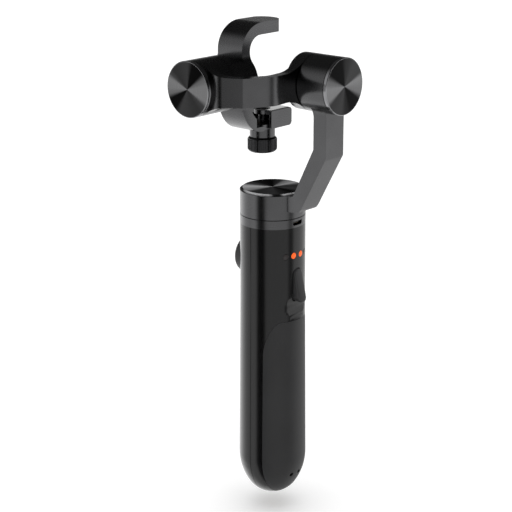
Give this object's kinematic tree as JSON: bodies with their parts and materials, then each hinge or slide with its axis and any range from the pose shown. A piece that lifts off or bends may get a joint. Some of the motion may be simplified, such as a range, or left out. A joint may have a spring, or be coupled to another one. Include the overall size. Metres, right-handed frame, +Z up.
{
  "type": "gimbal stabilizer",
  "caption": "Hand-held three-axis gimbal stabilizer: grip handle, pan, roll and tilt motors on angled arms, and a screw-clamp cage that holds an action camera.",
  "frame": {"origin": "mouth of the tripod thread, at the centre of the flat under the handle, on the pan axis", "axes": "+Z up the handle along the pan axis; -Y towards the user (trigger, lights, socket, roll motor), +Y the way the camera looks; -X towards the tilt motor"},
  "size_m": [0.0755, 0.0673, 0.264],
  "materials": {
    "shell_plastic": "fine moulded satin black",
    "grip_soft": "soft-touch matte dark grey",
    "dark_metal": "satin black anodised aluminium",
    "spun_disc": "spun dark anodised, bright bevelled rim",
    "knob_black": "fine straight knurl, black anodised",
    "pad_rubber": "light grey silicone",
    "button_plastic": "satin black",
    "light_on": "glowing orange light pipe",
    "light_off": "smoked light pipe, off",
    "brass": "machined",
    "steel": "machined",
    "cell_wrap": "shrink sleeve",
    "inner_plastic": "moulded",
    "board_green": "solder mask",
    "magnet": "nickel plated",
    "copper_wire": "enamelled copper"
  },
  "bodies": {
    "handle": {"front_shell": "shell_plastic", "rear_shell": "shell_plastic", "grip_panel": "grip_soft", "tripod_insert": "brass", "pan_base_ring": "dark_metal", "usb_socket": "steel", "trigger_pin": "steel", "trigger_switch": "inner_plastic", "joystick_base": "inner_plastic", "battery_cell": "cell_wrap", "cell_contact": "steel", "board_carrier": "inner_plastic", "main_board": "board_green", "indicator_light_1": "light_off", "indicator_light_2": "light_on", "indicator_light_3": "light_on", "indicator_light_4": "light_off", "shell_screw_1": "steel", "shell_screw_2": "steel", "shell_screw_3": "steel", "shell_screw_4": "steel", "pan_stator": "steel", "pan_windings": "copper_wire", "pan_bearing_near": "steel", "pan_bearing_far": "steel", "pan_sensor_board": "board_green"},
    "pan_arm": {"pan_arm": "dark_metal", "pan_top_disc": "spun_disc", "roll_end_disc": "spun_disc", "pan_shaft": "steel", "pan_magnet_ring": "magnet", "roll_stator": "steel", "roll_windings": "copper_wire", "roll_bearing_near": "steel", "roll_bearing_far": "steel", "roll_sensor_board": "board_green"},
    "roll_bracket": {"roll_bracket": "dark_metal", "tilt_end_disc": "spun_disc", "roll_shaft": "steel", "roll_magnet_ring": "magnet", "tilt_stator": "steel", "tilt_windings": "copper_wire", "tilt_bearing_near": "steel", "tilt_bearing_far": "steel", "tilt_sensor_board": "board_green"},
    "camera_cage": {"camera_cage": "dark_metal", "clamp_bush": "brass", "hook_pad": "pad_rubber", "back_pad": "pad_rubber", "tilt_shaft": "steel", "tilt_magnet_ring": "magnet"},
    "clamp_jaw": {"lower_jaw": "dark_metal", "jaw_pad": "pad_rubber"},
    "clamp_screw": {"clamp_screw": "steel", "screw_clip": "steel", "clamp_knob": "knob_black"},
    "joystick_ring": {"joystick_ring": "button_plastic"},
    "joystick": {"joystick_stem": "button_plastic", "joystick_cap": "button_plastic"},
    "trigger": {"trigger_button": "button_plastic"}
  },
  "joints": [
    {"name": "pan", "type": "hinge", "parent": "handle", "child": "pan_arm", "pos_m": [0, 0, 0.17], "axis": [0, 0, 1], "continuous": true},
    {"name": "roll", "type": "hinge", "parent": "pan_arm", "child": "roll_bracket", "pos_m": [0, -0.03, 0.2351], "axis": [0, 1, 0], "range_deg": [-160, 160]},
    {"name": "tilt", "type": "hinge", "parent": "roll_bracket", "child": "camera_cage", "pos_m": [-0.03, 0.0056, 0.2351], "axis": [1, 0, 0], "range_deg": [-40, 40]},
    {"name": "jaw_slide", "type": "slide", "parent": "camera_cage", "child": "clamp_jaw", "axis": [0, 0, -1], "range_m": [0, 0.00441]},
    {"name": "screw_turn", "type": "hinge", "parent": "clamp_jaw", "child": "clamp_screw", "pos_m": [-0.002, 0.0056, 0.2027], "axis": [0, 0, -1], "range_deg": [0, 1980]},
    {"name": "stick_side", "type": "hinge", "parent": "handle", "child": "joystick_ring", "pos_m": [0, 0.0086, 0.1357], "axis": [0, 0, 1], "range_deg": [-4, 4], "stiffness_Nm_per_rad": 0.07},
    {"name": "stick_lift", "type": "hinge", "parent": "joystick_ring", "child": "joystick", "pos_m": [0, 0.0086, 0.1357], "axis": [1, 0, 0], "range_deg": [-4, 4], "stiffness_Nm_per_rad": 0.07},
    {"name": "trigger_press", "type": "hinge", "parent": "handle", "child": "trigger", "pos_m": [0, -0.0142, 0.1322], "axis": [1, 0, 0], "range_deg": [0, 4], "stiffness_Nm_per_rad": 0.5, "springref_deg": -1.15}
  ],
  "couplings": [
    {"joint": "jaw_slide", "follows": "screw_turn", "m_per_rad": 0.00012732}
  ]
}
